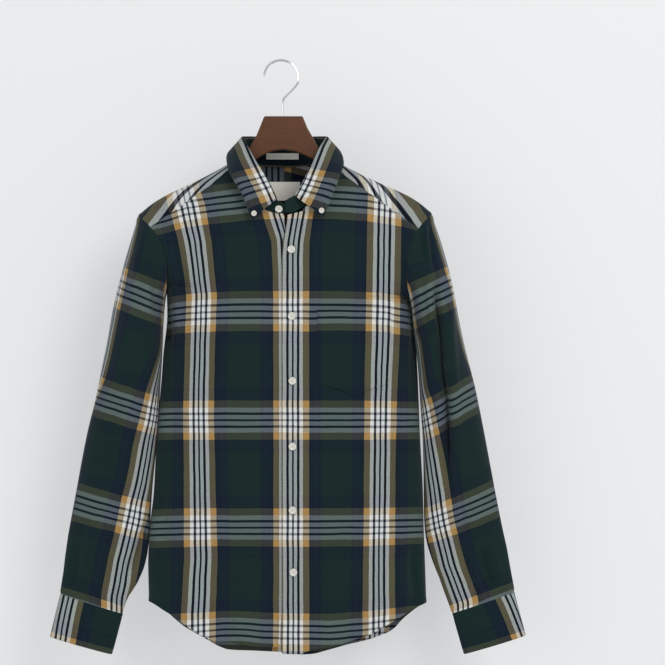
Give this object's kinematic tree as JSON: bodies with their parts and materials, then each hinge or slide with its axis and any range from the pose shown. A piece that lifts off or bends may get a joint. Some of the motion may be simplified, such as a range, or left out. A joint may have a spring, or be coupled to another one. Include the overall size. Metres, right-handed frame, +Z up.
{
  "type": "flannel shirt on a wooden hanger",
  "caption": "Long-sleeved button-down flannel shirt in a green and navy plaid with white and tan stripes, buttoned, hanging on a brown wooden hanger with a wire hook.",
  "frame": {"origin": "the inner top of the hanger's hook, where a peg or rail holds it", "axes": "+X toward the wearer's left sleeve, -Y the front of the shirt, +Z up"},
  "size_m": [0.7528, 0.1385, 0.9485],
  "materials": {
    "flannel": "brushed, soft, matte",
    "button": "glossy",
    "label": "woven, blank",
    "wood": "satin varnish",
    "hook_wire": "polished"
  },
  "bodies": {
    "root": {"front_left": "flannel", "front_right": "flannel", "placket": "flannel", "back": "flannel", "yoke": "flannel", "sleeve_left": "flannel", "sleeve_right": "flannel", "cuff_left": "flannel", "cuff_right": "flannel", "collar_stand": "flannel", "collar_leaf": "flannel", "pocket": "flannel", "button_1": "button", "button_2": "button", "button_3": "button", "button_4": "button", "button_5": "button", "button_6": "button", "button_stand": "button", "button_collar_left": "button", "button_collar_right": "button", "label_neck": "label", "label_size": "label", "hanger_wood": "wood", "hanger_hook": "hook_wire"}
  },
  "joints": []
}
